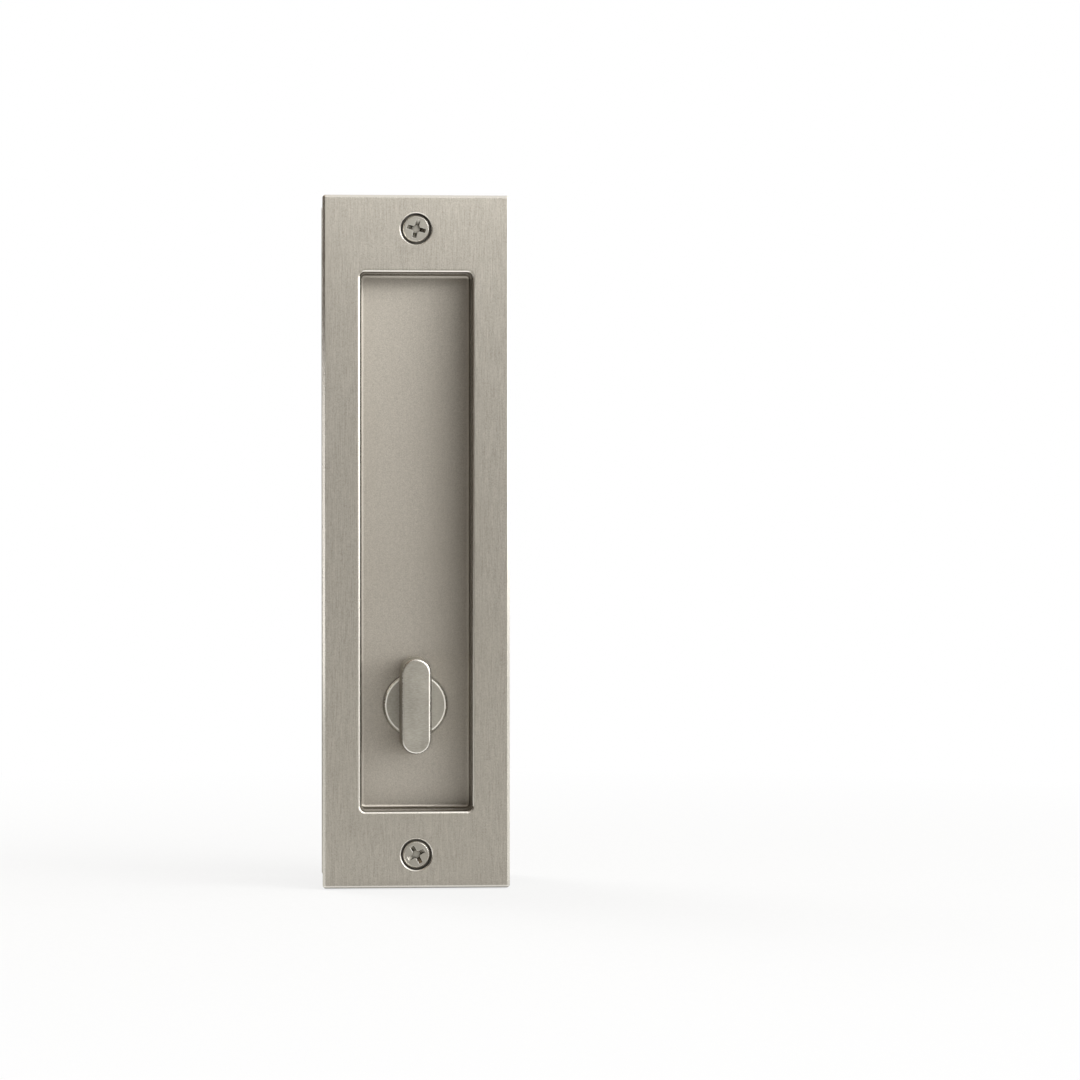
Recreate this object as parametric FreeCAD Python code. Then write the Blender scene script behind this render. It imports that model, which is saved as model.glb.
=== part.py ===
import FreeCAD, Part
import math
import os

# A privacy pull for a pocket door: an inside half with a thumb turn and an outside half with a
# coin turn, clamped to the two faces of a sliding door by two screws.
# X runs to the right as seen from the inside, Y runs through the door from the inside to the
# outside, and Z is up. The origin is the middle of the door's thickness at the plates' centre.
# All sizes are in millimetres.

# Door
door_thickness = 35.0

# Face plates and their finger cups
plate_width = 51.5
plate_height = 190.5
plate_thickness = 3.2
plate_corner_radius = 0.9
plate_edge_chamfer = 0.75
side_rail_width = 10.55
end_rail_height = 21.35
mouth_corner_radius = 1.2
lip_radius = 1.0
cup_depth = 10.0
cup_wall = 1.5
cup_floor_thickness = 1.5
floor_fillet = 1.0
cup_back_fillet = 1.2

# Axis of the two turns, above the lower end of the mouth
turn_height_in_mouth = 28.6

# Thumb turn
turn_disc_radius = 8.75
turn_disc_thickness = 1.5
turn_disc_ease = 0.35
blade_length = 26.2
blade_width = 7.9
blade_draft = 0.45
blade_setback = 0.7
blade_edge_radius = 0.7
blade_foot_fillet = 0.3

# Coin turn
coin_disc_radius = 8.7
coin_side_height = 3.0
coin_crown = 1.0
coin_rim_ease = 0.3
coin_slot_width = 2.4
coin_slot_depth = 2.5
coin_tilt = 4.0

# Hubs of the two turns
hub_radius = 5.0
hub_end_lip = 0.8
hub_end_chamfer = 0.3

# Flanged bushings pressed into the cup floors
hub_clearance = 0.05
bushing_wall = 1.15
bushing_recess = 0.1
bushing_flange_width = 1.8
bushing_flange_thickness = 0.7

# Bowed spring washers, flat washers and retaining rings behind the bushings
washer_clearance = 0.25
spring_washer_width = 2.3
spring_washer_thickness = 0.3
spring_washer_height = 0.7
flat_washer_width = 2.5
flat_washer_thickness = 0.5
ring_thickness = 0.8
ring_groove_depth = 0.7
ring_groove_play = 0.1
ring_lug_gap = 0.05
ring_reach = 2.4
ring_band_width = 1.6
ring_lug_width = 2.2
ring_lug_angle = 115.0
ring_mouth_overlap = 0.4

# Square spindle between the two turns
spindle_width = 5.0
spindle_end_chamfer = 0.4
spindle_seat_clearance = 0.03
spindle_play = 0.2
spindle_end_gap = 0.8
coin_socket_roof = 1.4

# Screws, and the bosses and threaded posts that take them
screw_end_distance = 9.25
counterbore_radius = 4.3
counterbore_depth = 2.3
counterbore_ease = 0.25
screw_hole_radius = 2.4
screw_head_radius = 3.68
screw_head_drop = 0.2
screw_head_rim = 0.35
screw_shank_radius = 2.08
screw_tip_chamfer = 0.5
boss_radius = 4.75
boss_root_chamfer = 0.4
inside_boss_height = 2.0
outside_boss_height = 2.5
post_radius = 3.2
post_end_chamfer = 0.4
post_reach_gap = 6.5
thread_engagement = 9.5
thread_run_out = 1.0
thread_gap = 0.02
spigot_radius = 2.4
spigot_length = 3.4
spigot_end_gap = 0.3

# Cross recess of the screws, and how each screw came to rest
recess_span = 5.2
recess_foot_span = 2.0
recess_wing_width = 1.15
recess_core_radius = 1.1
recess_foot_radius = 0.5
recess_depth = 1.5
upper_recess_turn = 14.0
lower_recess_turn = -27.7

# How far a cutting shape runs past the surface that it opens
cut_margin = 1.0
# Largest distance at which an edge counts as lying in a plane
plane_tolerance = 0.001

# Places along Y of the inside half. The outside half is the same half turned about Z.
face_y = -(door_thickness / 2 + plate_thickness)
back_y = face_y + plate_thickness
floor_y = face_y + cup_depth
cup_back_y = floor_y + cup_floor_thickness
flange_y = cup_back_y + bushing_flange_thickness
spring_y = flange_y + spring_washer_height
flat_washer_y = spring_y + flat_washer_thickness
ring_y = flat_washer_y + ring_thickness
hub_end_y = ring_y + hub_end_lip
disc_y = floor_y - turn_disc_thickness
coin_face_y = floor_y - coin_side_height - coin_crown
coin_socket_y = coin_face_y + coin_slot_depth + coin_socket_roof
head_seat_y = face_y + counterbore_depth
inside_boss_y = back_y + inside_boss_height
outside_boss_y = back_y + outside_boss_height
post_end_y = -(inside_boss_y + post_reach_gap)

# Heights and radii that several pieces share
mouth_width = plate_width - 2 * side_rail_width
mouth_height = plate_height - 2 * end_rail_height
turn_z = turn_height_in_mouth - mouth_height / 2
screw_z = plate_height / 2 - screw_end_distance
bushing_radius = hub_radius + hub_clearance + bushing_wall
groove_radius = hub_radius - ring_groove_depth
washer_hole_radius = hub_radius + washer_clearance

along_y = FreeCAD.Vector(0, 1, 0)
along_z = FreeCAD.Vector(0, 0, 1)


# A cylinder along Y
def rod(radius, y_start, y_end, z=0.0):
    return Part.makeCylinder(radius, y_end - y_start, FreeCAD.Vector(0, y_start, z), along_y)


# A ring along Y
def tube(outer_radius, inner_radius, y_start, y_end, z=0.0):
    return rod(outer_radius, y_start, y_end, z).cut(rod(inner_radius, y_start, y_end, z))


# A block along Y, centred on X = 0 and on a height
def block(width, height, y_start, y_end, z=0.0):
    corner = FreeCAD.Vector(-width / 2, y_start, z - height / 2)
    return Part.makeBox(width, y_end - y_start, height, corner)


# The edges of a shape that lie in the plane at this Y
def edges_in_plane(shape, y):
    return [
        edge
        for edge in shape.Edges
        if all(abs(vertex.Y - y) < plane_tolerance for vertex in edge.Vertexes)
    ]


# A block whose four edges along Y are round
def rounded_block(width, height, radius, y_start, y_end):
    sharp = block(width, height, y_start, y_end)
    corners = [edge for edge in sharp.Edges if edge.BoundBox.YLength > plane_tolerance]
    return sharp.makeFillet(radius, corners)


# A disc along Y whose front is a shallow dome with an eased rim
def domed_disc(radius, crown, rim_ease, y_front, y_back, z):
    rim_y = y_front + crown
    dome_radius = (radius**2 + crown**2) / (2 * crown)
    middle_y = y_front + dome_radius - math.sqrt(dome_radius**2 - (radius / 2) ** 2)
    top = FreeCAD.Vector(0, y_front, z)
    middle = FreeCAD.Vector(radius / 2, middle_y, z)
    rim = FreeCAD.Vector(radius, rim_y, z)
    foot = FreeCAD.Vector(radius, y_back, z)
    centre = FreeCAD.Vector(0, y_back, z)
    dome = Part.Arc(top, middle, rim).toShape()
    sides = Part.makePolygon([rim, foot, centre, top])
    profile = Part.Face(Part.Wire([dome] + sides.Edges))
    disc = Part.Solid(profile.revolve(top, along_y, 360))
    return disc.makeChamfer(rim_ease, edges_in_plane(disc, rim_y))


# The one solid that a shape holds, with its split faces joined
def one_solid(shape):
    return shape.removeSplitter().Solids[0]


# A piece turned in its own plane about the line along Y at this height
def turned_in_place(shape, angle, z):
    moved = shape.copy()
    moved.rotate(FreeCAD.Vector(0, 0, z), along_y, angle)
    return moved


# A piece of the outside half, made from its form on the inside
def on_outside(shape):
    moved = shape.copy()
    moved.rotate(FreeCAD.Vector(0, 0, 0), along_z, 180)
    return moved


# A plate whose cup's mouth has a rounded lip
def with_lip(plate):
    edge_of_mouth = [
        edge
        for edge in edges_in_plane(plate, face_y)
        if abs(edge.CenterOfMass.x) < mouth_width / 2 + plane_tolerance
        and abs(edge.CenterOfMass.z) < mouth_height / 2 + plane_tolerance
    ]
    return plate.makeFillet(lip_radius, edge_of_mouth)


# Face plate with its finger cup, eased edges and the bushing's hole in the cup floor
def cupped_plate():
    slab = rounded_block(plate_width, plate_height, plate_corner_radius, face_y, back_y)
    slab = slab.makeChamfer(plate_edge_chamfer, edges_in_plane(slab, face_y))
    shell_width = mouth_width + 2 * cup_wall
    shell_height = mouth_height + 2 * cup_wall
    shell_radius = mouth_corner_radius + cup_wall
    shell_front_y = face_y + plate_thickness / 2
    shell = rounded_block(shell_width, shell_height, shell_radius, shell_front_y, cup_back_y)
    shell = shell.makeFillet(cup_back_fillet, edges_in_plane(shell, cup_back_y))
    mouth = rounded_block(
        mouth_width, mouth_height, mouth_corner_radius, face_y - cut_margin, floor_y
    )
    mouth = mouth.makeFillet(floor_fillet, edges_in_plane(mouth, floor_y))
    plate = with_lip(slab.fuse(shell).cut(mouth))
    return plate.cut(rod(bushing_radius, floor_y - cut_margin, cup_back_y + cut_margin, turn_z))


# A plate with a round boss behind each screw place
def with_bosses(plate, boss_y):
    for z in (screw_z, -screw_z):
        plate = plate.fuse(rod(boss_radius, back_y - plate_thickness / 2, boss_y, z))
    roots = [
        edge
        for edge in edges_in_plane(plate, back_y)
        if abs(abs(edge.CenterOfMass.z) - screw_z) < plane_tolerance
    ]
    return plate.makeChamfer(boss_root_chamfer, roots)


# Inside plate: each boss has a hole for the screw and a counterbore for its head
def inside_plate():
    plate = with_bosses(cupped_plate(), inside_boss_y)
    for z in (screw_z, -screw_z):
        plate = plate.cut(rod(screw_hole_radius, face_y - cut_margin, inside_boss_y + cut_margin, z))
        plate = plate.cut(rod(counterbore_radius, face_y - cut_margin, head_seat_y, z))
    rims = [
        edge
        for edge in edges_in_plane(plate, face_y)
        if abs(abs(edge.CenterOfMass.z) - screw_z) < plane_tolerance
    ]
    return one_solid(plate.makeChamfer(counterbore_ease, rims))


# Outside plate: each boss has a blind hole for the post's spigot, so its face stays plain
def outside_plate():
    plate = with_bosses(cupped_plate(), outside_boss_y)
    hole_end_y = outside_boss_y - spigot_length - spigot_end_gap
    for z in (screw_z, -screw_z):
        plate = plate.cut(rod(spigot_radius, hole_end_y, outside_boss_y + cut_margin, z))
    return on_outside(one_solid(plate))


# Hub behind a turn's disc, with the groove for its retaining ring
def hub():
    shaft = rod(hub_radius, disc_y + turn_disc_thickness / 2, hub_end_y, turn_z)
    shaft = shaft.makeChamfer(hub_end_chamfer, edges_in_plane(shaft, hub_end_y))
    groove_start_y = flat_washer_y - ring_groove_play
    return shaft.cut(tube(hub_radius + cut_margin, groove_radius, groove_start_y, ring_y, turn_z))


# Drafted thumb blade with round ends, an eased edge and a soft foot on the disc
def blade():
    blade_face_y = face_y + blade_setback
    face_radius = blade_width / 2
    base_radius = face_radius + blade_draft
    end_offset = (blade_length - blade_width) / 2
    section = Part.makePolygon(
        [
            FreeCAD.Vector(-base_radius, disc_y, turn_z - end_offset),
            FreeCAD.Vector(base_radius, disc_y, turn_z - end_offset),
            FreeCAD.Vector(face_radius, blade_face_y, turn_z - end_offset),
            FreeCAD.Vector(-face_radius, blade_face_y, turn_z - end_offset),
            FreeCAD.Vector(-base_radius, disc_y, turn_z - end_offset),
        ]
    )
    body = Part.Face(section).extrude(along_z * (2 * end_offset))
    for z in (turn_z - end_offset, turn_z + end_offset):
        end = Part.makeCone(
            base_radius,
            face_radius,
            disc_y - blade_face_y,
            FreeCAD.Vector(0, disc_y, z),
            -along_y,
        )
        body = body.fuse(end)
    body = body.removeSplitter()
    return body.makeFillet(blade_edge_radius, edges_in_plane(body, blade_face_y))


# Small fillets where the blade's sides meet the disc
def blade_feet():
    side = blade_width / 2 + blade_draft
    foot_y = disc_y - blade_foot_fillet
    length = 2 * turn_disc_radius
    corner_z = turn_z - turn_disc_radius
    feet = block(2 * (side + blade_foot_fillet), length, foot_y, disc_y, turn_z)
    for x in (-side - blade_foot_fillet, side + blade_foot_fillet):
        start = FreeCAD.Vector(x, foot_y, corner_z)
        feet = feet.cut(Part.makeCylinder(blade_foot_fillet, length, start, along_z))
    return feet.common(rod(turn_disc_radius - turn_disc_ease, foot_y, disc_y, turn_z))


# Thumb turn: disc, blade and hub in one piece, with a square socket for the spindle
def thumb_turn():
    disc = rod(turn_disc_radius, disc_y, floor_y, turn_z)
    disc = disc.makeChamfer(turn_disc_ease, edges_in_plane(disc, disc_y))
    socket_width = spindle_width + 2 * spindle_seat_clearance
    socket = block(socket_width, socket_width, disc_y, hub_end_y + cut_margin, turn_z)
    return one_solid(disc.fuse(blade()).fuse(blade_feet()).fuse(hub()).cut(socket))


# Coin turn: domed disc with a full slot, and a square socket that turns a little on the spindle
def coin_turn():
    disc = domed_disc(coin_disc_radius, coin_crown, coin_rim_ease, coin_face_y, floor_y, turn_z)
    slot_floor_y = coin_face_y + coin_slot_depth
    slot_length = 2 * (coin_disc_radius + cut_margin)
    slot = block(slot_length, coin_slot_width, coin_face_y - cut_margin, slot_floor_y, turn_z)
    socket_width = spindle_width + 2 * spindle_play
    socket = block(socket_width, socket_width, coin_socket_y, hub_end_y + cut_margin, turn_z)
    turn = one_solid(disc.fuse(hub()).cut(slot).cut(socket))
    return on_outside(turned_in_place(turn, -coin_tilt, turn_z))


# Bearing bushing with a flange behind the cup floor
def bushing():
    bore_radius = hub_radius + hub_clearance
    flange_radius = bushing_radius + bushing_flange_width
    sleeve = tube(bushing_radius, bore_radius, floor_y + bushing_recess, flange_y, turn_z)
    return one_solid(sleeve.fuse(tube(flange_radius, bore_radius, cup_back_y, flange_y, turn_z)))


# Spring washer: a ring bowed about Z, so that its sides press on the flange
def spring_washer():
    outer_radius = washer_hole_radius + spring_washer_width
    bow = spring_washer_height - spring_washer_thickness
    bend_radius = (outer_radius**2 + bow**2) / (2 * bow)
    sheet_radius = bend_radius + spring_washer_thickness
    start = FreeCAD.Vector(0, spring_y - sheet_radius, turn_z - outer_radius)
    sheet = Part.makeCylinder(sheet_radius, 2 * outer_radius, start, along_z)
    sheet = sheet.cut(Part.makeCylinder(bend_radius, 2 * outer_radius, start, along_z))
    return one_solid(sheet.common(tube(outer_radius, washer_hole_radius, flange_y, spring_y, turn_z)))


# Flat washer between the spring washer and the retaining ring
def flat_washer():
    outer_radius = washer_hole_radius + flat_washer_width
    return tube(outer_radius, washer_hole_radius, spring_y, flat_washer_y, turn_z)


# Retaining ring: an open band with three lugs that reach into the hub's groove
def retaining_ring():
    outer_radius = hub_radius + ring_reach
    band_radius = outer_radius - ring_band_width
    lug_radius = groove_radius + ring_lug_gap
    ring = tube(outer_radius, band_radius, flat_washer_y, ring_y, turn_z)
    lug_length = (outer_radius + band_radius) / 2 - lug_radius
    lug_centre_z = turn_z + lug_radius + lug_length / 2
    for angle in (0, ring_lug_angle, -ring_lug_angle):
        lug = block(ring_lug_width, lug_length, flat_washer_y, ring_y, lug_centre_z)
        ring = ring.fuse(turned_in_place(lug, angle, turn_z))
    mouth_width_of_ring = 2 * (groove_radius - ring_mouth_overlap)
    mouth = block(
        mouth_width_of_ring, outer_radius, flat_washer_y, ring_y, turn_z - outer_radius / 2
    )
    return one_solid(ring.cut(mouth).cut(rod(lug_radius, flat_washer_y, ring_y, turn_z)))


# Square spindle, seated in the thumb turn and sliding in the coin turn's socket
def spindle():
    end_y = -coin_socket_y - spindle_end_gap
    bar = block(spindle_width, spindle_width, disc_y, end_y, turn_z)
    return bar.makeChamfer(spindle_end_chamfer, edges_in_plane(bar, end_y))


# Cross-shaped recess that narrows towards its foot
def cross_recess(top_y):
    foot_y = top_y + recess_depth
    open_y = top_y - cut_margin
    half_span = recess_span / 2
    half_foot = recess_foot_span / 2
    outline = [
        (-half_span, open_y),
        (half_span, open_y),
        (half_span, top_y),
        (half_foot, foot_y),
        (-half_foot, foot_y),
        (-half_span, top_y),
        (-half_span, open_y),
    ]
    side_z = -recess_wing_width / 2
    profile = Part.makePolygon([FreeCAD.Vector(x, y, side_z) for x, y in outline])
    wing = Part.Face(profile).extrude(along_z * recess_wing_width)
    core = Part.makeCone(
        recess_core_radius, recess_foot_radius, recess_depth, FreeCAD.Vector(0, top_y, 0), along_y
    )
    return wing.fuse(turned_in_place(wing, 90, 0)).fuse(core)


# Machine screw with a cheese head and a cross recess, turned to where it came to rest
def screw(z, recess_turn):
    head_y = face_y + screw_head_drop
    tip_y = -post_end_y + thread_engagement
    head = rod(screw_head_radius, head_y, head_seat_y)
    head = head.makeChamfer(screw_head_rim, edges_in_plane(head, head_y))
    shank = rod(screw_shank_radius, (head_y + head_seat_y) / 2, tip_y)
    shank = shank.makeChamfer(screw_tip_chamfer, edges_in_plane(shank, tip_y))
    piece = one_solid(head.fuse(shank).cut(cross_recess(head_y)))
    piece = turned_in_place(piece, recess_turn, 0)
    piece.translate(along_z * z)
    return piece


# Threaded post of the outside half, fixed by its spigot and tapped from its free end
def post(z):
    bore_y = post_end_y - thread_engagement - thread_run_out
    barrel = rod(post_radius, outside_boss_y, post_end_y, z)
    barrel = barrel.makeChamfer(post_end_chamfer, edges_in_plane(barrel, post_end_y))
    spigot = rod(spigot_radius, outside_boss_y - spigot_length, outside_boss_y, z)
    bore = rod(screw_shank_radius + thread_gap, bore_y, post_end_y + cut_margin, z)
    return on_outside(one_solid(barrel.fuse(spigot).cut(bore)))


pieces = {
    "inside_plate": inside_plate(),
    "outside_plate": outside_plate(),
    "thumb_turn": thumb_turn(),
    "coin_turn": coin_turn(),
    "spindle": spindle(),
    "upper_screw": screw(screw_z, upper_recess_turn),
    "lower_screw": screw(-screw_z, lower_recess_turn),
    "upper_post": post(screw_z),
    "lower_post": post(-screw_z),
    "inside_bushing": bushing(),
    "outside_bushing": on_outside(bushing()),
    "inside_spring_washer": spring_washer(),
    "outside_spring_washer": on_outside(spring_washer()),
    "inside_flat_washer": flat_washer(),
    "outside_flat_washer": on_outside(flat_washer()),
    "inside_retaining_ring": retaining_ring(),
    "outside_retaining_ring": on_outside(retaining_ring()),
}

os.makedirs("parts", exist_ok=True)
for node, shape in pieces.items():
    shape.exportStep(f"parts/{node}.step")
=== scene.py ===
import math
import bmesh
import bpy
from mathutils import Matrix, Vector


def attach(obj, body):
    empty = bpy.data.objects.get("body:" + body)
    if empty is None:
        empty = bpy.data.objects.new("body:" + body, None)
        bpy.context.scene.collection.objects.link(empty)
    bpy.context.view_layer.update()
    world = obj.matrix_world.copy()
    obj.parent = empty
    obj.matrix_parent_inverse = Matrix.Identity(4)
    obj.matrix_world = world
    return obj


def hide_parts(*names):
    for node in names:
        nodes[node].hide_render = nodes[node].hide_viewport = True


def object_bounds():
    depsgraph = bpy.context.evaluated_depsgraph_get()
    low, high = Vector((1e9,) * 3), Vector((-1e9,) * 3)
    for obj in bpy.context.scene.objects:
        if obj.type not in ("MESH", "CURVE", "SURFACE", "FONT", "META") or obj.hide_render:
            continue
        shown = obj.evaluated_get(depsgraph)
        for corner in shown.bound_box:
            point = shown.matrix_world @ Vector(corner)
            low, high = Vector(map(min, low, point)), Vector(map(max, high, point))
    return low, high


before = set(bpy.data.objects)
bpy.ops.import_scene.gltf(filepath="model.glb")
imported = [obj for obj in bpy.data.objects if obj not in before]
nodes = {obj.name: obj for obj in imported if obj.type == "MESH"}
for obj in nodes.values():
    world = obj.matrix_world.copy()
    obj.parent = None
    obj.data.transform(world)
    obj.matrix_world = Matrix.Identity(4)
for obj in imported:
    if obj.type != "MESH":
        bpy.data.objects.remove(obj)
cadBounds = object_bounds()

mm = 0.001


# Shared helpers

# Where the masks that the finishes share start and end
masks = {
    "edge": (0.985, 0.90),      # how alike the true normal and the rounded one are
    "wall": (0.84, 0.64),       # how much a surface faces the door's front or back
    "slant": (0.95, 0.55),      # how near it is to a face or a wall
    "corner": (0.30, 0.90),     # how open a corner is
    "roughGrain": (0.3, 0.7),   # the part of a pattern's range that the roughness follows
    "blur": 0.05,               # of a border, to either side, in millimetres
}


def linearColour(hexText):
    channels = [int(hexText[at:at + 2], 16) / 255 for at in (1, 3, 5)]
    return (*[c / 12.92 if c <= 0.04045 else ((c + 0.055) / 1.055) ** 2.4 for c in channels], 1.0)


# Adds a node. Each input, by name or number, takes a socket, a value or a hex colour. A Mix node of
# colours has them at inputs 6 and 7 and gives output 2, and one of numbers at 2 and 3 and output 0.
def addNode(tree, kind, inputs=None, **settings):
    node = tree.nodes.new(kind)
    for name, value in settings.items():
        setattr(node, name, value)
    for name, value in (inputs or {}).items():
        if isinstance(value, bpy.types.NodeSocket):
            tree.links.new(value, node.inputs[name])
        elif isinstance(value, str):
            node.inputs[name].default_value = linearColour(value)
        else:
            node.inputs[name].default_value = value
    return node


def newMaterial(name):
    material = bpy.data.materials.new(name)
    material.use_nodes = True
    tree = material.node_tree
    tree.nodes.clear()
    shader = addNode(tree, "ShaderNodeBsdfPrincipled")
    addNode(tree, "ShaderNodeOutputMaterial", {"Surface": shader.outputs["BSDF"]})
    place = addNode(tree, "ShaderNodeTexCoord").outputs["Object"]
    return material, tree, shader, place


# Noise drawn out along the three axes: each size in millimetres is one grain's length that way
def grain(tree, place, sizes, detail=2.0, seed=0.0):
    scales = [1 / (size * mm) for size in sizes]
    stretched = addNode(
        tree, "ShaderNodeMapping", {"Vector": place, "Scale": scales, "Location": (seed,) * 3}
    )
    noise = addNode(
        tree, "ShaderNodeTexNoise",
        {"Vector": stretched.outputs[0], "Scale": 1.0, "Detail": detail, "Roughness": 0.55},
    )
    return noise.outputs["Fac"]


# The normal with its edges rounded over this radius, and a mask that is 1 along those edges
def softEdges(tree, radius):
    soft = addNode(tree, "ShaderNodeBevel", {"Radius": radius * mm}, samples=8).outputs["Normal"]
    surface = addNode(tree, "ShaderNodeNewGeometry").outputs["Normal"]
    likeness = addNode(
        tree, "ShaderNodeVectorMath", {0: soft, 1: surface}, operation="DOT_PRODUCT"
    ).outputs["Value"]
    start, end = masks["edge"]
    mask = addNode(
        tree, "ShaderNodeMapRange", {"Value": likeness, "From Min": start, "From Max": end}
    )
    return soft, mask.outputs[0]


# How much a surface faces the door's front or back: 1 on faces and 0 on walls
def facingOf(tree):
    normal = addNode(tree, "ShaderNodeTexCoord").outputs["Normal"]
    forward = addNode(tree, "ShaderNodeSeparateXYZ", {"Vector": normal}).outputs["Y"]
    return addNode(tree, "ShaderNodeMath", {0: forward}, operation="ABSOLUTE").outputs[0]


# 1 on walls that run from front to back, 0 on faces
def wallOf(tree):
    start, end = masks["wall"]
    return addNode(
        tree, "ShaderNodeMapRange", {"Value": facingOf(tree), "From Min": start, "From Max": end}
    ).outputs[0]


# How far a surface slants between a piece's front and its sides: 1 on chamfers and in the middle of
# rounded lips, which the finishes lighten as rubbed wear and as painted highlights, and 0 on faces and
# walls
def slantOf(tree):
    facing = facingOf(tree)
    squared = addNode(tree, "ShaderNodeMath", {0: facing, 1: facing}, operation="MULTIPLY")
    centred = addNode(
        tree, "ShaderNodeMath", {0: squared.outputs[0], 1: 2.0, 2: -1.0}, operation="MULTIPLY_ADD"
    )
    away = addNode(tree, "ShaderNodeMath", {0: centred.outputs[0]}, operation="ABSOLUTE").outputs[0]
    start, end = masks["slant"]
    return addNode(
        tree, "ShaderNodeMapRange", {"Value": away, "From Min": start, "From Max": end}
    ).outputs[0]


# 1 where a coordinate lies within this distance of the middle, in millimetres
def within(tree, coordinate, limit):
    blur = masks["blur"]
    distance = addNode(tree, "ShaderNodeMath", {0: coordinate}, operation="ABSOLUTE").outputs[0]
    ends = {"From Min": (limit + blur) * mm, "From Max": (limit - blur) * mm}
    return addNode(tree, "ShaderNodeMapRange", {"Value": distance, **ends}).outputs[0]


# 1 beyond this radius from a line along Y at this height, all in millimetres
def outsideOf(tree, across, up, axisHeight, radius, blur):
    height = addNode(
        tree, "ShaderNodeMath", {0: up, 1: axisHeight * mm}, operation="SUBTRACT"
    ).outputs[0]
    flat = addNode(tree, "ShaderNodeCombineXYZ", {"X": across, "Z": height}).outputs[0]
    fromAxis = addNode(tree, "ShaderNodeVectorMath", {0: flat}, operation="LENGTH")
    ends = {"From Min": radius * mm, "From Max": (radius + blur) * mm}
    return addNode(
        tree, "ShaderNodeMapRange", {"Value": fromAxis.outputs["Value"], **ends}
    ).outputs[0]


# Paints shade into a colour in narrow corners and gaps, where light doesn't reach
def paintShadeInCorners(tree, colour, reach, darkness):
    openness = addNode(
        tree, "ShaderNodeAmbientOcclusion", {"Distance": reach * mm}, samples=8
    ).outputs["AO"]
    start, end = masks["corner"]
    shade = addNode(
        tree, "ShaderNodeMapRange",
        {"Value": openness, "From Min": start, "From Max": end, "To Min": darkness, "To Max": 0.0},
    ).outputs[0]
    return addNode(
        tree, "ShaderNodeMix", {0: shade, 6: colour, 7: "#000000"}, data_type="RGBA"
    ).outputs[2]


# A colour between a finish's dark and light ones, by a pattern
def shadeBy(tree, pattern, finish):
    low, high = finish["contrast"]
    level = addNode(tree, "ShaderNodeMapRange", {"Value": pattern, "From Min": low, "From Max": high})
    return addNode(
        tree, "ShaderNodeMix",
        {0: level.outputs[0], 6: finish["dark"], 7: finish["light"]},
        data_type="RGBA",
    ).outputs[2]


# Edges take a finish's edge colour, up to its share: lighter as rubbed wear and as a painted highlight
def lightenWornAndHighlitEdges(tree, colour, edges, finish):
    share = addNode(tree, "ShaderNodeMath", {0: edges, 1: finish["edgeShare"]}, operation="MULTIPLY")
    return addNode(
        tree, "ShaderNodeMix", {0: share.outputs[0], 6: colour, 7: finish["edge"]}, data_type="RGBA"
    ).outputs[2]


# A roughness that follows a pattern, this much to either side of its middle
def roughBy(tree, pattern, middle, spread):
    start, end = masks["roughGrain"]
    ends = {"From Min": start, "From Max": end, "To Min": middle - spread, "To Max": middle + spread}
    return addNode(tree, "ShaderNodeMapRange", {"Value": pattern, **ends}).outputs[0]


# A roughness that falls by this much where a mask is 1
def smoothen(tree, rough, mask, drop):
    return addNode(
        tree, "ShaderNodeMath", {0: mask, 1: -drop, 2: rough}, operation="MULTIPLY_ADD"
    ).outputs[0]


# Gives the shader its colour and roughness, and a fine relief that follows a pattern
def layFinish(tree, shader, colour, rough, height, normal, depth, strength=1.0):
    relief = addNode(
        tree, "ShaderNodeBump",
        {"Distance": depth * mm, "Strength": strength, "Height": height, "Normal": normal},
    )
    tree.links.new(colour, shader.inputs["Base Color"])
    tree.links.new(rough, shader.inputs["Roughness"])
    tree.links.new(relief.outputs["Normal"], shader.inputs["Normal"])


def dress(names, material):
    for name in names:
        slots = nodes[name].data.materials
        slots.clear()
        slots.append(material)


# Satin nickel plates

plateFinish = {
    "light": "#C4BFB4", "dark": "#9D978D", "tarnish": "#AAA498", "edge": "#E6E3DB",
    "contrast": (0.34, 0.66),   # the part of the lines' range that runs from dark to light
    # In millimetres. Real brushing and its speckle are finer, and are this coarse here to show.
    "streakSizes": (0.17, 0.17, 5.5),                 # the brush's lines
    "bandSizes": (0.8, 0.8, 9.0), "bandShare": 0.15,  # broader bands where the brush pressed harder
    "speckleSize": 0.20, "railSpeckle": 0.50, "cupSpeckle": 0.75,
    "cloudSizes": (22.0, 22.0, 40.0), "cloudRange": (0.50, 0.80), "cloudShare": 0.35,  # tarnish
    "edgeShare": 0.7, "edgeRadius": 0.12, "cornerReach": 0.8, "paintedCornerShade": 0.92,
    "paintedWallShade": 0.55,                                # painted shade: how much darker the cup's walls are made
    "cupTint": "#E5DDD2", "cupLift": 0.21,            # the cup is a little warmer and lighter
    "railRoughness": 0.44, "cupRoughness": 0.54, "roughnessSpread": 0.05,
    "rubbedSmoother": 0.20, "wallSmoother": 0.32,
    "bumpDepth": 0.0016, "cupBump": 0.45,             # the cup's relief is this share of the rails'
    "brushing": (0.02, 0.05, 1.0), "brushStretch": 0.75,
    "mouthHalfWidth": 15.2, "mouthHalfHeight": 73.9,
    "cupStart": 19.75,                                # how far from the door's middle the lip begins
    "mouthEdge": 0.4, "lipEdge": 0.30,  # how far past the mouth the cup's and the walls' finish run
}


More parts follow.
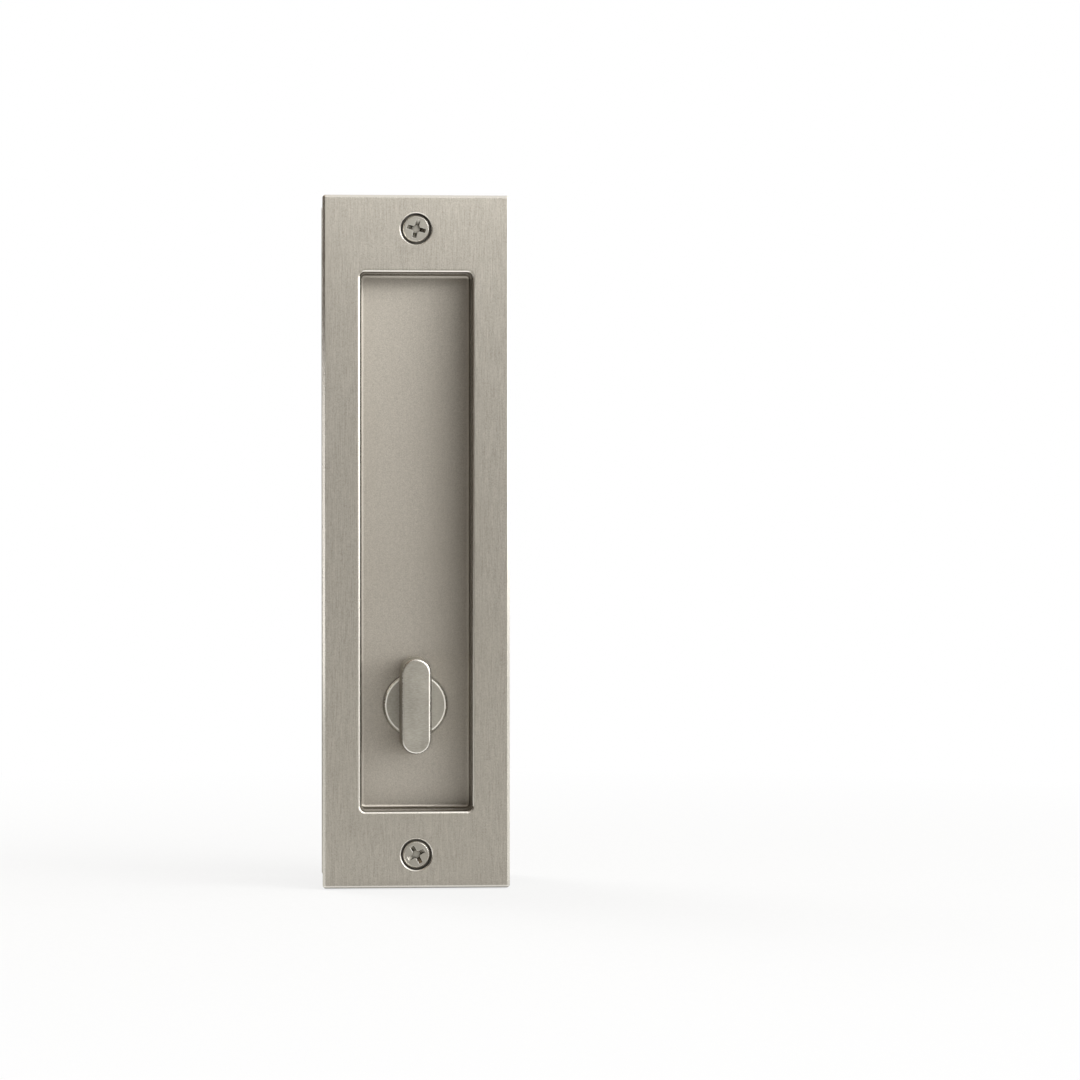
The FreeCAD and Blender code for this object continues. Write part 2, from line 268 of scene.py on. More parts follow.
def satinNickelPlate(finish):
    # Satin nickel, brushed along the plate's height: a warm grey metal with fine upright lines
    material, tree, shader, place = newMaterial("satinNickelBrushedUpright")
    streaks = grain(tree, place, finish["streakSizes"])
    speckle = grain(tree, place, (finish["speckleSize"],) * 3, detail=1.0, seed=11.0)
    bands = grain(tree, place, finish["bandSizes"], detail=1.0, seed=7.0)
    clouds = grain(tree, place, finish["cloudSizes"], detail=1.0, seed=3.0)

    # Where the cup and its walls are
    axes = addNode(tree, "ShaderNodeSeparateXYZ", {"Vector": place}).outputs
    inMouth, inCup = [
        addNode(
            tree, "ShaderNodeMath",
            {
                0: within(tree, axes["X"], finish["mouthHalfWidth"] + edge),
                1: within(tree, axes["Z"], finish["mouthHalfHeight"] + edge),
            },
            operation="MULTIPLY",
        ).outputs[0]
        for edge in (finish["lipEdge"], finish["mouthEdge"])
    ]
    behindLip = within(tree, axes["Y"], finish["cupStart"])
    inCup = addNode(tree, "ShaderNodeMath", {0: inCup, 1: behindLip}, operation="MULTIPLY").outputs[0]
    onWall = addNode(
        tree, "ShaderNodeMath", {0: inMouth, 1: wallOf(tree)}, operation="MULTIPLY"
    ).outputs[0]

    # Rubbed edges, also lightened as painted highlights: the narrow ones everywhere, and slanting
    # surfaces outside the mouth
    softNormal, edges = softEdges(tree, finish["edgeRadius"])
    outside = addNode(tree, "ShaderNodeMath", {0: 1.0, 1: inMouth}, operation="SUBTRACT").outputs[0]
    slant = addNode(
        tree, "ShaderNodeMath", {0: slantOf(tree), 1: outside}, operation="MULTIPLY"
    ).outputs[0]
    edges = addNode(tree, "ShaderNodeMath", {0: edges, 1: slant}, operation="MAXIMUM").outputs[0]

    # The brush's lines, with more speckle in the cup, where the brush doesn't reach
    brushed = addNode(tree, "ShaderNodeMix", {0: finish["bandShare"], 2: streaks, 3: bands}).outputs[0]
    share = addNode(
        tree, "ShaderNodeMapRange",
        {"Value": inCup, "To Min": finish["railSpeckle"], "To Max": finish["cupSpeckle"]},
    ).outputs[0]
    lines = addNode(tree, "ShaderNodeMix", {0: share, 2: brushed, 3: speckle}).outputs[0]
    colour = shadeBy(tree, lines, finish)
    start, end = finish["cloudRange"]
    patches = addNode(
        tree, "ShaderNodeMapRange",
        {"Value": clouds, "From Min": start, "From Max": end, "To Max": finish["cloudShare"]},
    ).outputs[0]
    colour = addNode(
        tree, "ShaderNodeMix", {0: patches, 6: colour, 7: finish["tarnish"]}, data_type="RGBA"
    ).outputs[2]
    lift = addNode(
        tree, "ShaderNodeMath", {0: inCup, 1: finish["cupLift"]}, operation="MULTIPLY"
    ).outputs[0]
    colour = addNode(
        tree, "ShaderNodeMix", {0: lift, 6: colour, 7: finish["cupTint"]}, data_type="RGBA"
    ).outputs[2]
    colour = lightenWornAndHighlitEdges(tree, colour, edges, finish)
    # Painted shade in narrow corners and gaps
    colour = paintShadeInCorners(tree, colour, finish["cornerReach"], finish["paintedCornerShade"])
    # Painted shade: the cup's walls are mixed towards black
    shade = addNode(
        tree, "ShaderNodeMath", {0: onWall, 1: finish["paintedWallShade"]}, operation="MULTIPLY"
    ).outputs[0]
    colour = addNode(
        tree, "ShaderNodeMix", {0: shade, 6: colour, 7: "#000000"}, data_type="RGBA"
    ).outputs[2]

    wavering = roughBy(tree, lines, 0.0, finish["roughnessSpread"])
    base = addNode(
        tree, "ShaderNodeMapRange",
        {"Value": inCup, "To Min": finish["railRoughness"], "To Max": finish["cupRoughness"]},
    ).outputs[0]
    rough = smoothen(tree, base, onWall, finish["wallSmoother"])
    rough = addNode(tree, "ShaderNodeMath", {0: rough, 1: wavering}, operation="ADD").outputs[0]
    rough = smoothen(tree, rough, edges, finish["rubbedSmoother"])
    strength = addNode(
        tree, "ShaderNodeMapRange", {"Value": inCup, "To Min": 1.0, "To Max": finish["cupBump"]}
    ).outputs[0]
    layFinish(tree, shader, colour, rough, streaks, softNormal, finish["bumpDepth"], strength)

    # The brushing's direction turns with the piece
    direction = addNode(
        tree, "ShaderNodeVectorTransform", {"Vector": finish["brushing"]},
        vector_type="VECTOR", convert_from="OBJECT", convert_to="WORLD",
    )
    tree.links.new(direction.outputs["Vector"], shader.inputs["Tangent"])
    shader.inputs["Metallic"].default_value = 1.0
    shader.inputs["Anisotropic"].default_value = finish["brushStretch"]
    shader.inputs["Anisotropic Rotation"].default_value = 0.25
    return material


dress(["inside_plate", "outside_plate"], satinNickelPlate(plateFinish))
print("plates dressed")


# Satin nickel turns

turnFinish = {
    "light": "#B2AEA4", "dark": "#99958B", "edge": "#E6E3DB",
    "contrast": (0.35, 0.65), "edgeShare": 0.8,
    # Short lines across the blade, in millimetres, coarser than the real ones so that they show
    "lineSizes": (0.8, 0.17, 0.17),
    "cloudSizes": (5.0, 5.0, 7.0), "cloudShare": 0.4,
    "roughness": 0.50, "roughnessSpread": 0.04, "rubbedSmoother": 0.22,
    "bumpDepth": 0.0012, "edgeRadius": 0.10, "cornerReach": 0.8, "paintedCornerShade": 0.85,
    # The disc rim's painted highlight, with its sizes in millimetres
    "rim": "#F4F1E8", "rimStart": 7.95, "rimDepth": 12.6, "axisHeight": -45.3,
    "rimBlur": 0.15, "halfBlur": 0.1,
}


def satinNickelTurn(finish):
    # Satin nickel on the small cast turns: finer and softer than on the plates
    material, tree, shader, place = newMaterial("satinNickelFineTurn")
    lines = grain(tree, place, finish["lineSizes"])
    clouds = grain(tree, place, finish["cloudSizes"], detail=1.0, seed=5.0)
    both = addNode(tree, "ShaderNodeMix", {0: finish["cloudShare"], 2: lines, 3: clouds}).outputs[0]
    softNormal, edges = softEdges(tree, finish["edgeRadius"])
    # Edges and slanting surfaces are lightened, as rubbed wear and as painted highlights
    edges = addNode(
        tree, "ShaderNodeMath", {0: edges, 1: slantOf(tree)}, operation="MAXIMUM"
    ).outputs[0]
    colour = lightenWornAndHighlitEdges(tree, shadeBy(tree, both, finish), edges, finish)

    # A painted highlight: the rim of the thumb turn's disc, in the door's front half, is painted
    # bright
    axes = addNode(tree, "ShaderNodeSeparateXYZ", {"Vector": place}).outputs
    rim = outsideOf(
        tree, axes["X"], axes["Z"], finish["axisHeight"], finish["rimStart"], finish["rimBlur"]
    )
    blur = finish["halfBlur"] * mm
    frontHalf = addNode(
        tree, "ShaderNodeMapRange", {"Value": axes["Y"], "From Min": blur, "From Max": -blur}
    ).outputs[0]
    for limit in (within(tree, axes["Y"], finish["rimDepth"]), frontHalf):
        rim = addNode(tree, "ShaderNodeMath", {0: rim, 1: limit}, operation="MULTIPLY").outputs[0]
    colour = addNode(
        tree, "ShaderNodeMix", {0: rim, 6: colour, 7: finish["rim"]}, data_type="RGBA"
    ).outputs[2]

    # Painted shade in narrow corners and gaps
    colour = paintShadeInCorners(tree, colour, finish["cornerReach"], finish["paintedCornerShade"])
    rough = roughBy(tree, both, finish["roughness"], finish["roughnessSpread"])
    rough = smoothen(tree, rough, edges, finish["rubbedSmoother"])
    layFinish(tree, shader, colour, rough, lines, softNormal, finish["bumpDepth"])
    shader.inputs["Metallic"].default_value = 1.0
    return material


dress(["thumb_turn", "coin_turn"], satinNickelTurn(turnFinish))
print("turns dressed")


# Steel and nylon pieces behind the plates

hiddenFinishes = {
    # Bright zinc plate over drawn bar: cool grey with a faint blue cast
    "zincPlatedSteel": {
        "light": "#BCC0C3", "dark": "#9DA2A5", "edge": "#D2D5D7", "metallic": 1.0,
        "roughness": 0.34, "grainSizes": (0.30, 3.0, 0.30), "bumpDepth": 0.0015,
        "pieces": [
            "spindle", "upper_post", "lower_post", "inside_flat_washer", "outside_flat_washer",
        ],
    },
    # Phosphated spring steel: nearly black, matt, and rubbed to grey on its edges
    "phosphatedSpringSteel": {
        "light": "#4A4A4C", "dark": "#2D2D2F", "edge": "#7C7C7E", "metallic": 0.9,
        "roughness": 0.52, "grainSizes": (0.5, 0.5, 0.5), "bumpDepth": 0.004,
        "pieces": [
            "inside_spring_washer", "outside_spring_washer",
            "inside_retaining_ring", "outside_retaining_ring",
        ],
    },
    # Natural nylon as moulded: milky, slightly warm and softly shiny
    "naturalNylonMoulded": {
        "light": "#E8E3D4", "dark": "#DAD4C2", "edge": "#F0ECE0", "metallic": 0.0,
        "roughness": 0.45, "grainSizes": (0.8, 0.8, 0.8), "bumpDepth": 0.003,
        "pieces": ["inside_bushing", "outside_bushing"],
    },
}
hiddenShared = {
    "contrast": (0.32, 0.68), "edgeShare": 0.8, "roughnessSpread": 0.06, "edgeRadius": 0.12,
}


def hiddenFinish(name, finish):
    material, tree, shader, place = newMaterial(name)
    lines = grain(tree, place, finish["grainSizes"])
    softNormal, edges = softEdges(tree, finish["edgeRadius"])
    colour = lightenWornAndHighlitEdges(tree, shadeBy(tree, lines, finish), edges, finish)
    rough = roughBy(tree, lines, finish["roughness"], finish["roughnessSpread"])
    layFinish(tree, shader, colour, rough, lines, softNormal, finish["bumpDepth"])
    shader.inputs["Metallic"].default_value = finish["metallic"]
    return material


for name, finish in hiddenFinishes.items():
    dress(finish["pieces"], hiddenFinish(name, {**hiddenShared, **finish}))
print("hidden pieces dressed")


# Machine screws with rolled threads

screwSizes = {
    "headSeat": -18.4, "headLap": 0.15,             # where the thread starts, along Y in millimetres
    "tip": 0.5, "coreRadius": 1.72, "ridgeHeight": 0.35, "pitch": 0.794,
    "flank": (0.12, 0.88),                          # where a ridge falls, in shares of half a pitch
    "runOut": 1.2, "around": 40, "rowsPerTurn": 10,
    "weld": 0.0005,                                 # points of the head nearer than this are merged
    "sharpAngle": 28,                               # edges sharper than this many degrees stay hard
    "pieces": {"upperScrew": ("upper_screw", 86.0), "lowerScrew": ("lower_screw", -86.0)},
}
screwFinish = {
    "light": "#B4B0A6", "dark": "#A19D93", "edge": "#F4F1EA",
    "contrast": (0.3, 0.7), "edgeShare": 1.0,
    "roughness": 0.40, "roughnessSpread": 0.04, "bumpDepth": 0.001,
    "grainSize": 0.16,          # in millimetres, coarser than the real plating so that it shows
    "edgeRadius": 0.10, "cornerReach": 0.8, "paintedCornerShade": 0.94, "wallSmoother": 0.28,
    # The painted highlight on the head's chamfer, with its sizes in millimetres
    "rimStart": 3.28, "rimBlur": 0.1, "rimDepth": 20.1, "axisHeight": 86.0,
}


def nickelPlatedScrew(finish):
    # Nickel plated steel screw: a little darker than the plate, with a painted highlight on the
    # chamfer round its head
    material, tree, shader, place = newMaterial("nickelPlatedScrew")
    speckle = grain(tree, place, (finish["grainSize"],) * 3)
    softNormal, edges = softEdges(tree, finish["edgeRadius"])
    # Edges are lightened, as rubbed wear and as painted highlights
    colour = lightenWornAndHighlitEdges(tree, shadeBy(tree, speckle, finish), edges, finish)
    # Painted shade in narrow corners and gaps, also round the head in its counterbore
    colour = paintShadeInCorners(tree, colour, finish["cornerReach"], finish["paintedCornerShade"])

    # The chamfer round the head is painted bright, a painted highlight. Both screws are as far from
    # the middle.
    axes = addNode(tree, "ShaderNodeSeparateXYZ", {"Vector": place}).outputs
    up = addNode(tree, "ShaderNodeMath", {0: axes["Z"]}, operation="ABSOLUTE").outputs[0]
    rim = outsideOf(
        tree, axes["X"], up, finish["axisHeight"], finish["rimStart"], finish["rimBlur"]
    )
    depth = addNode(tree, "ShaderNodeMath", {0: axes["Y"]}, operation="ABSOLUTE").outputs[0]
    end = finish["rimDepth"]
    ends = {"From Min": (end - finish["rimBlur"]) * mm, "From Max": end * mm}
    front = addNode(tree, "ShaderNodeMapRange", {"Value": depth, **ends}).outputs[0]
    rim = addNode(tree, "ShaderNodeMath", {0: rim, 1: front}, operation="MULTIPLY").outputs[0]
    colour = addNode(
        tree, "ShaderNodeMix", {0: rim, 6: colour, 7: finish["edge"]}, data_type="RGBA"
    ).outputs[2]

    rough = roughBy(tree, speckle, finish["roughness"], finish["roughnessSpread"])
    rough = smoothen(tree, rough, wallOf(tree), finish["wallSmoother"])
    layFinish(tree, shader, colour, rough, speckle, softNormal, finish["bumpDepth"])
    shader.inputs["Metallic"].default_value = 1.0
    return material


# Geometry Nodes tree that adds a threaded shank to a screw head
def threadTree(sizes, material):
    tree = bpy.data.node_groups.new("threadedShank", "GeometryNodeTree")
    face = tree.interface
    face.new_socket("Geometry", in_out="INPUT", socket_type="NodeSocketGeometry")
    for name in (
        "Core Radius", "Ridge Height", "Pitch", "Shank Start", "Shank Length", "Run Out",
        "Screw Height",
    ):
        face.new_socket(name, in_out="INPUT", socket_type="NodeSocketFloat")
    for name in ("Around", "Rows"):
        face.new_socket(name, in_out="INPUT", socket_type="NodeSocketInt")
    face.new_socket("Geometry", in_out="OUTPUT", socket_type="NodeSocketGeometry")
    given = addNode(tree, "NodeGroupInput").outputs
    bar = addNode(
        tree, "GeometryNodeMeshCylinder",
        {
            "Vertices": given["Around"], "Side Segments": given["Rows"],
            "Radius": given["Core Radius"], "Depth": given["Shank Length"],
        },
        fill_type="TRIANGLE_FAN",
    )

    # The ridge's height at each point: a wave that climbs one pitch in each turn
    place = addNode(tree, "GeometryNodeInputPosition").outputs["Position"]
    axes = addNode(tree, "ShaderNodeSeparateXYZ", {"Vector": place}).outputs
    angle = addNode(tree, "ShaderNodeMath", {0: axes["Y"], 1: axes["X"]}, operation="ARCTAN2")
    turn = addNode(
        tree, "ShaderNodeMath", {0: angle.outputs[0], 1: 2 * math.pi}, operation="DIVIDE"
    )
    climb = addNode(tree, "ShaderNodeMath", {0: axes["Z"], 1: given["Pitch"]}, operation="DIVIDE")
    turns = addNode(
        tree, "ShaderNodeMath", {0: climb.outputs[0], 1: turn.outputs[0]}, operation="ADD"
    )
    phase = addNode(tree, "ShaderNodeMath", {0: turns.outputs[0]}, operation="FRACT")
    centred = addNode(
        tree, "ShaderNodeMath", {0: phase.outputs[0], 1: 2.0, 2: -1.0}, operation="MULTIPLY_ADD"
    )
    wave = addNode(tree, "ShaderNodeMath", {0: centred.outputs[0]}, operation="ABSOLUTE")
    crest, root = sizes["flank"]
    flank = addNode(
        tree, "ShaderNodeMapRange",
        {"Value": wave.outputs[0], "From Min": crest, "From Max": root, "To Min": 1.0, "To Max": 0.0},
    )

    # It runs out towards both ends of the shank
    half = addNode(tree, "ShaderNodeMath", {0: given["Shank Length"], 1: 2.0}, operation="DIVIDE")
    along = addNode(tree, "ShaderNodeMath", {0: axes["Z"]}, operation="ABSOLUTE")
    toEnd = addNode(
        tree, "ShaderNodeMath", {0: half.outputs[0], 1: along.outputs[0]}, operation="SUBTRACT"
    )
    fade = addNode(
        tree, "ShaderNodeMath", {0: toEnd.outputs[0], 1: given["Run Out"]},
        operation="DIVIDE", use_clamp=True,
    )
    faded = addNode(
        tree, "ShaderNodeMath", {0: flank.outputs[0], 1: fade.outputs[0]}, operation="MULTIPLY"
    )
    rise = addNode(
        tree, "ShaderNodeMath", {0: faded.outputs[0], 1: given["Ridge Height"]}, operation="MULTIPLY"
    )
    radius = addNode(tree, "ShaderNodeCombineXYZ", {"X": axes["X"], "Y": axes["Y"]})
    outward = addNode(tree, "ShaderNodeVectorMath", {0: radius.outputs[0]}, operation="NORMALIZE")
    offset = addNode(
        tree, "ShaderNodeVectorMath", {0: outward.outputs[0], "Scale": rise.outputs[0]},
        operation="SCALE",
    )
    thread = addNode(
        tree, "GeometryNodeSetPosition",
        {"Geometry": bar.outputs["Mesh"], "Offset": offset.outputs["Vector"]},
    )

    # The shank lies along Y, behind the head
    middle = addNode(
        tree, "ShaderNodeMath", {0: given["Shank Start"], 1: half.outputs[0]}, operation="ADD"
    )
    spot = addNode(
        tree, "ShaderNodeCombineXYZ", {"Y": middle.outputs[0], "Z": given["Screw Height"]}
    )
    point = addNode(tree, "GeometryNodePoints", {"Count": 1, "Position": spot.outputs[0]})
    placed = addNode(
        tree, "GeometryNodeInstanceOnPoints",
        {
            "Points": point.outputs[0], "Instance": thread.outputs["Geometry"],
            "Rotation": (-math.pi / 2, 0.0, 0.0),
        },
    )
    joined = addNode(tree, "GeometryNodeJoinGeometry", {"Geometry": placed.outputs["Instances"]})
    tree.links.new(given["Geometry"], joined.inputs["Geometry"])
    real = addNode(tree, "GeometryNodeRealizeInstances", {"Geometry": joined.outputs["Geometry"]})
    finished = addNode(
        tree, "GeometryNodeSetMaterial", {"Geometry": real.outputs["Geometry"], "Material": material}
    )
    addNode(tree, "NodeGroupOutput", {"Geometry": finished.outputs["Geometry"]})
    return tree


# The head of the CAD's screw, closed where its plain shank was
def screwHead(source, name, sizes):
    head = bmesh.new()
    head.from_mesh(source.data)
    bmesh.ops.remove_doubles(head, verts=head.verts, dist=sizes["weld"] * mm)
    behind = sizes["headSeat"] * mm + 0.001 * mm
    shank = [f for f in head.faces if f.calc_center_median().y > behind]
    bmesh.ops.delete(head, geom=shank, context="FACES")
    rim = [e for e in head.edges if e.is_boundary]
    bmesh.ops.holes_fill(head, edges=rim, sides=0)
    bmesh.ops.recalc_face_normals(head, faces=head.faces)
    mesh = bpy.data.meshes.new(name)
    head.to_mesh(mesh)
    head.free()
    # The imported normals no longer fit the merged points
    if "custom_normal" in mesh.attributes:
        mesh.attributes.remove(mesh.attributes["custom_normal"])
    made = bpy.data.objects.new(name, mesh)
    bpy.context.scene.collection.objects.link(made)
    return made


def buildScrew(name, nodeName, height, sizes, tree, material):
    made = screwHead(nodes[nodeName], name, sizes)
    start = sizes["headSeat"] - sizes["headLap"]
    length = sizes["tip"] - start
    inputs = {
        "Core Radius": sizes["coreRadius"] * mm, "Ridge Height": sizes["ridgeHeight"] * mm,
        "Pitch": sizes["pitch"] * mm, "Shank Start": start * mm, "Shank Length": length * mm,
        "Run Out": sizes["runOut"] * mm, "Screw Height": height * mm,
        "Around": sizes["around"], "Rows": round(length / sizes["pitch"] * sizes["rowsPerTurn"]),
    }
    shank = made.modifiers.new("threadedShank", "NODES")
    shank.node_group = tree
    for item in tree.interface.items_tree:
        if item.in_out == "INPUT" and item.name in inputs:
            shank[item.identifier] = inputs[item.name]
    evaluated = made.evaluated_get(bpy.context.evaluated_depsgraph_get())
    finished = bpy.data.meshes.new_from_object(evaluated)
    made.modifiers.remove(shank)
    made.data = finished
    finished.materials.clear()
    finished.materials.append(material)
    finished.polygons.foreach_set("use_smooth", [True] * len(finished.polygons))
    finished.set_sharp_from_angle(angle=math.radians(sizes["sharpAngle"]))
    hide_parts(nodeName)
    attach(made, "plates")


screwNickel = nickelPlatedScrew(screwFinish)
shankTree = threadTree(screwSizes, screwNickel)
for name, (nodeName, height) in screwSizes["pieces"].items():
    buildScrew(name, nodeName, height, screwSizes, shankTree, screwNickel)
print("screws built")


# Room: white to the camera, and a soft studio of light and dark sides for everything else

roomLight = {
    "front": 0.13,      # in front of the door and behind it
    "up": 0.90,         # added towards the ceiling
    "right": 3.90,      # added towards the right
    "darkest": 0.09,    # left at the far left
    "mirroredWhite": 0.04,  # the share of the white background that metal shows
    "leftFade": (-0.80, -0.05),
    "upFade": (0.45, 0.98),
    "rightFade": (0.15, 0.95),
    "besideLeast": 0.35, "besideFade": (0.0, 0.30),  # the right side is dimmer level with the door
    "turnFade": (0.20, 0.45),   # how far behind the door left and right change places
    "tintFade": (-0.60, 0.05), "tint": "#FFFFFF", "leftTint": "#D8B48C",
}


def buildRoom(light):
    world = bpy.data.worlds.new("softStudio")
    bpy.context.scene.world = world
    world.use_nodes = True
    tree = world.node_tree
    tree.nodes.clear()
    direction = addNode(tree, "ShaderNodeTexCoord").outputs["Generated"]
    axes = addNode(tree, "ShaderNodeSeparateXYZ", {"Vector": direction}).outputs
    # Behind the door left and right change places, so that each plate is lit from its viewer's right
    turned = addNode(
        tree, "ShaderNodeMapRange",
        {
            "Value": axes["Y"], "From Min": light["turnFade"][0], "From Max": light["turnFade"][1],
            "To Min": 1.0, "To Max": -1.0,
        },
    ).outputs[0]
    side = addNode(tree, "ShaderNodeMath", {0: axes["X"], 1: turned}, operation="MULTIPLY").outputs[0]
    aside = addNode(tree, "ShaderNodeMath", {0: axes["Y"]}, operation="ABSOLUTE").outputs[0]
    notLeft, overhead, beside, offDoor, untinted = [
        addNode(
            tree, "ShaderNodeMapRange",
            {"Value": value, "From Min": fade[0], "From Max": fade[1], "To Min": low, "To Max": high},
        ).outputs[0]
        for value, fade, low, high in (
            (side, light["leftFade"], 0.0, 1.0),
            (axes["Z"], light["upFade"], 0.0, light["up"]),
            (side, light["rightFade"], 0.0, light["right"]),
            (aside, light["besideFade"], light["besideLeast"], 1.0),
            (side, light["tintFade"], 0.0, 1.0),
        )
    ]
    ahead = addNode(
        tree, "ShaderNodeMath", {0: overhead, 1: light["front"]}, operation="ADD"
    ).outputs[0]
    level = addNode(
        tree, "ShaderNodeMath", {0: notLeft, 1: ahead, 2: light["darkest"]}, operation="MULTIPLY_ADD"
    ).outputs[0]
    level = addNode(
        tree, "ShaderNodeMath", {0: beside, 1: offDoor, 2: level}, operation="MULTIPLY_ADD"
    ).outputs[0]
    colour = addNode(
        tree, "ShaderNodeMix", {0: untinted, 6: light["leftTint"], 7: light["tint"]},
        data_type="RGBA",
    ).outputs[2]
    studio = addNode(tree, "ShaderNodeBackground", {"Color": colour, "Strength": level}).outputs[0]
    white = addNode(tree, "ShaderNodeBackground", {"Color": "#FFFFFF", "Strength": 1.0}).outputs[0]
    ray = addNode(tree, "ShaderNodeLightPath").outputs
    share = addNode(
        tree, "ShaderNodeMath",
        {0: ray["Is Glossy Ray"], 1: light["mirroredWhite"], 2: ray["Is Camera Ray"]},
        operation="MULTIPLY_ADD",
    ).outputs[0]
    mixed = addNode(tree, "ShaderNodeMixShader", {0: share, 1: studio, 2: white}).outputs[0]
    addNode(tree, "ShaderNodeOutputWorld", {"Surface": mixed})


# Area lamps that point at the middle, with places and sizes in metres
lamps = {
    # The main lamp, from the front plate's right
    "keyLamp": {"at": (0.74, -0.46, 0.42), "width": 0.50, "height": 0.40, "watts": 3.4},
    # A wide low one nearby, above and to the right
    "topLamp": {"at": (0.19, -0.31, 0.215), "width": 0.42, "height": 0.13, "watts": 0.57},
    # Lights the plates' left edges at mid height
    "edgeLamp": {"at": (-0.45, 0.04, 0.0), "width": 0.12, "height": 0.13, "watts": 0.11},
    # Lights the rear plate from its viewer's right
    "backLamp": {"at": (-0.45, 0.65, 0.42), "width": 0.40, "height": 0.36, "watts": 2.8},
}


def buildLamps(settings):
    for name, lamp in settings.items():
        data = bpy.data.lights.new(name, "AREA")
        data.shape = "RECTANGLE"
        data.size, data.size_y, data.energy = lamp["width"], lamp["height"], lamp["watts"]
        holder = bpy.data.objects.new(name, data)
        holder.location = lamp["at"]
        holder.rotation_euler = (-Vector(lamp["at"])).to_track_quat("-Z", "Y").to_euler()
        bpy.context.scene.collection.objects.link(holder)


floorSizes = {
    "halfSide": 3.0,                                # in metres
    "drop": 0.3,                                    # below the plates, in millimetres
    # The white that the camera sees near the plates, and where it becomes full, in metres
    "ownGlow": 0.78, "fadeStart": 0.12, "fadeEnd": 0.45,
    # The white that metal sees, and where it ends, in metres
    "mirroredGlow": 0.26, "mirroredStart": 0.10, "mirroredEnd": 0.25,
    # Edges that look steeply down on the floor see it glow brighter, which paints highlights on them
    "steepGlow": 1.5, "steep": 0.62, "slanting": 0.80,
    # They see less of that where it is this close, in metres
    "closeShare": 0.55, "close": 0.004, "far": 0.02,
    "footHalfWidth": 0.0258, "footHalfDepth": 0.0207,
    "paper": "#C9C9C7", "fibre": "#C1C1BF", "contrast": (0.3, 0.7), "roughness": 0.9,
    "fibreSize": 1.5,                               # in millimetres
}


# How steeply a reflected ray came down on the floor: its level run from the plates' foot over its
# length, so 0 is straight down
def slopeOf(tree, place, rayLength, sizes):
    axes = addNode(tree, "ShaderNodeSeparateXYZ", {"Vector": place}).outputs
    past = []
    for axis, half in (("X", sizes["footHalfWidth"]), ("Y", sizes["footHalfDepth"])):
        distance = addNode(tree, "ShaderNodeMath", {0: axes[axis]}, operation="ABSOLUTE").outputs[0]
        beyond = addNode(tree, "ShaderNodeMath", {0: distance, 1: half}, operation="SUBTRACT")
        past.append(
            addNode(tree, "ShaderNodeMath", {0: beyond.outputs[0], 1: 0.0}, operation="MAXIMUM")
        )
    level = addNode(
        tree, "ShaderNodeCombineXYZ", {"X": past[0].outputs[0], "Y": past[1].outputs[0]}
    )
    run = addNode(tree, "ShaderNodeVectorMath", {0: level.outputs[0]}, operation="LENGTH")
    return addNode(
        tree, "ShaderNodeMath", {0: run.outputs["Value"], 1: rayLength}, operation="DIVIDE"
    ).outputs[0]


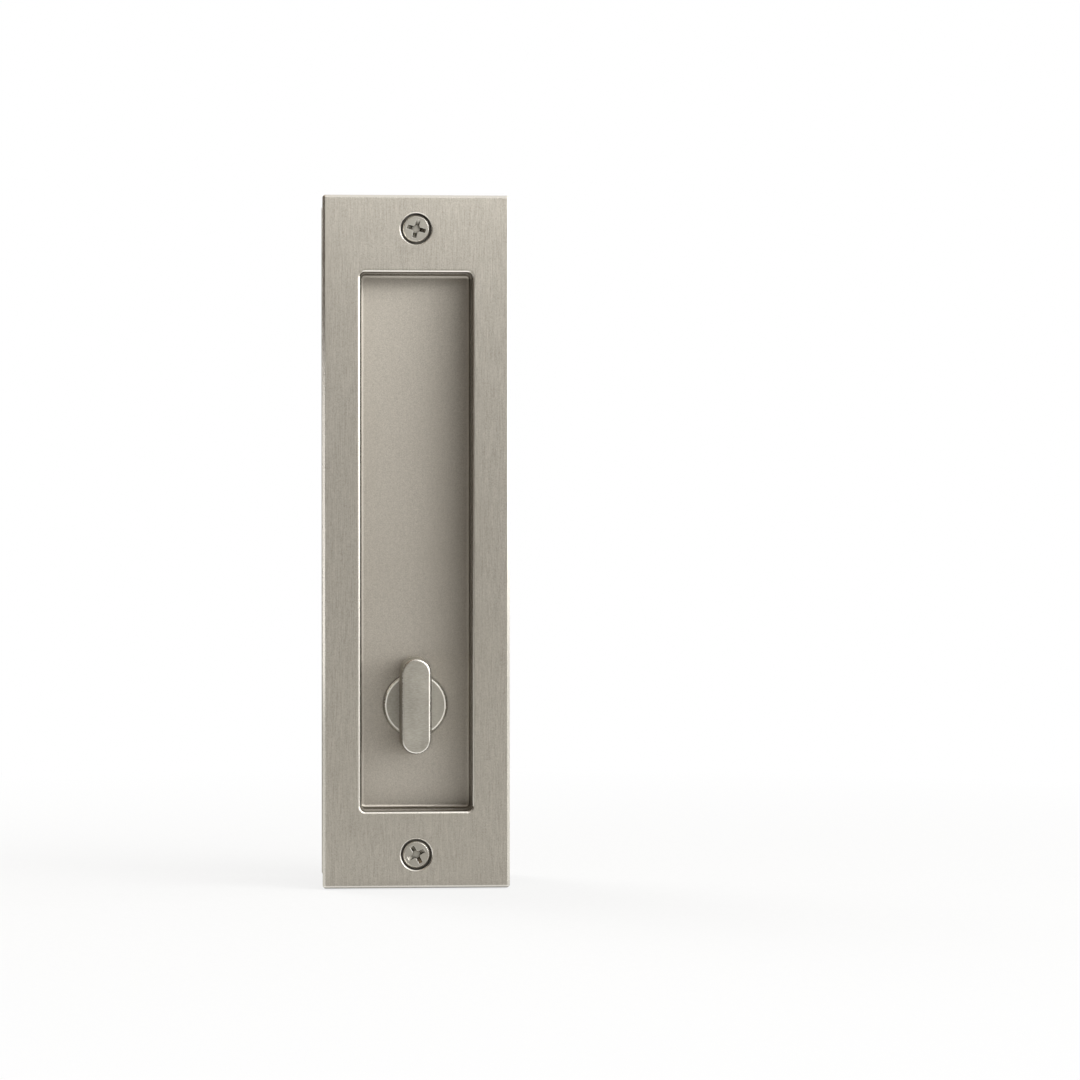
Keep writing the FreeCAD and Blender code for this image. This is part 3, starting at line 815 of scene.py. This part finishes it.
def buildFloor(sizes):
    half = sizes["halfSide"]
    height = cadBounds[0][2] - sizes["drop"] * mm
    mesh = bpy.data.meshes.new("paperFloor")
    corners = [(x, y, height) for x, y in ((-half, -half), (half, -half), (half, half), (-half, half))]
    mesh.from_pydata(corners, [], [(0, 1, 2, 3)])
    floor = bpy.data.objects.new("paperFloor", mesh)
    bpy.context.scene.collection.objects.link(floor)

    # Matt white paper that glows: the camera sees mostly its own white, so only a soft shadow shows on
    # it, and metal mirrors its glow as light
    material, tree, shader, place = newMaterial("glowingMattWhitePaper")
    fibres = grain(tree, place, (sizes["fibreSize"],) * 3)
    low, high = sizes["contrast"]
    level = addNode(tree, "ShaderNodeMapRange", {"Value": fibres, "From Min": low, "From Max": high})
    colour = addNode(
        tree, "ShaderNodeMix", {0: level.outputs[0], 6: sizes["fibre"], 7: sizes["paper"]},
        data_type="RGBA",
    ).outputs[2]
    tree.links.new(colour, shader.inputs["Base Color"])
    shader.inputs["Roughness"].default_value = sizes["roughness"]

    ray = addNode(tree, "ShaderNodeLightPath").outputs
    reach = addNode(tree, "ShaderNodeVectorMath", {0: place}, operation="LENGTH").outputs["Value"]
    slope = slopeOf(tree, place, ray["Ray Length"], sizes)
    white, mirrored, steep, clear = [
        addNode(
            tree, "ShaderNodeMapRange",
            {"Value": value, "From Min": start, "From Max": end, "To Min": near, "To Max": far},
        ).outputs[0]
        for value, start, end, near, far in (
            (reach, sizes["fadeStart"], sizes["fadeEnd"], sizes["ownGlow"], 1.0),
            (reach, sizes["mirroredStart"], sizes["mirroredEnd"], sizes["mirroredGlow"], 0.0),
            (slope, sizes["steep"], sizes["slanting"], 1.0, 0.0),
            (ray["Ray Length"], sizes["close"], sizes["far"], sizes["closeShare"], 1.0),
        )
    ]
    steep = addNode(tree, "ShaderNodeMath", {0: steep, 1: clear}, operation="MULTIPLY").outputs[0]
    mirrored = addNode(
        tree, "ShaderNodeMath", {0: mirrored, 1: steep}, operation="MAXIMUM"
    ).outputs[0]
    shine = addNode(
        tree, "ShaderNodeMath", {0: steep, 1: ray["Is Glossy Ray"]}, operation="MULTIPLY"
    ).outputs[0]
    strength = addNode(
        tree, "ShaderNodeMapRange", {"Value": shine, "To Min": 1.0, "To Max": sizes["steepGlow"]}
    ).outputs[0]
    glow = addNode(tree, "ShaderNodeEmission", {"Color": "#FFFFFF", "Strength": strength}).outputs[0]
    seen = addNode(
        tree, "ShaderNodeMath", {0: ray["Is Camera Ray"], 1: white}, operation="MULTIPLY"
    ).outputs[0]
    share = addNode(
        tree, "ShaderNodeMath", {0: ray["Is Glossy Ray"], 1: mirrored, 2: seen},
        operation="MULTIPLY_ADD",
    ).outputs[0]
    mixed = addNode(
        tree, "ShaderNodeMixShader", {0: share, 1: shader.outputs["BSDF"], 2: glow}
    ).outputs[0]
    tree.links.new(mixed, tree.nodes["Material Output"].inputs["Surface"])
    mesh.materials.append(material)


buildRoom(roomLight)
buildLamps(lamps)
buildFloor(floorSizes)
print("room, lamps and floor built")


# Camera: the photograph's view, just above the plate's middle and a little to its left. Its place
# is in millimetres, its yaw and pitch are in degrees, and what it clips is in metres.

cameraView = {
    "at": (-32.0, -1020.7, 10.0), "yaw": 3.778, "pitch": -0.543,
    "lens": 121.33, "sensor": 36.0, "nearest": 0.01, "furthest": 50.0,
}


def buildCamera(view):
    data = bpy.data.cameras.new("camera")
    data.sensor_fit = "HORIZONTAL"
    data.sensor_width, data.lens = view["sensor"], view["lens"]
    data.clip_start, data.clip_end = view["nearest"], view["furthest"]
    holder = bpy.data.objects.new("camera", data)
    holder.location = [value * mm for value in view["at"]]
    holder.rotation_euler = (math.radians(90 + view["pitch"]), 0.0, -math.radians(view["yaw"]))
    bpy.context.scene.collection.objects.link(holder)
    bpy.context.scene.camera = holder


buildCamera(cameraView)
bpy.context.scene.view_settings.view_transform = "Standard"
print("camera placed")
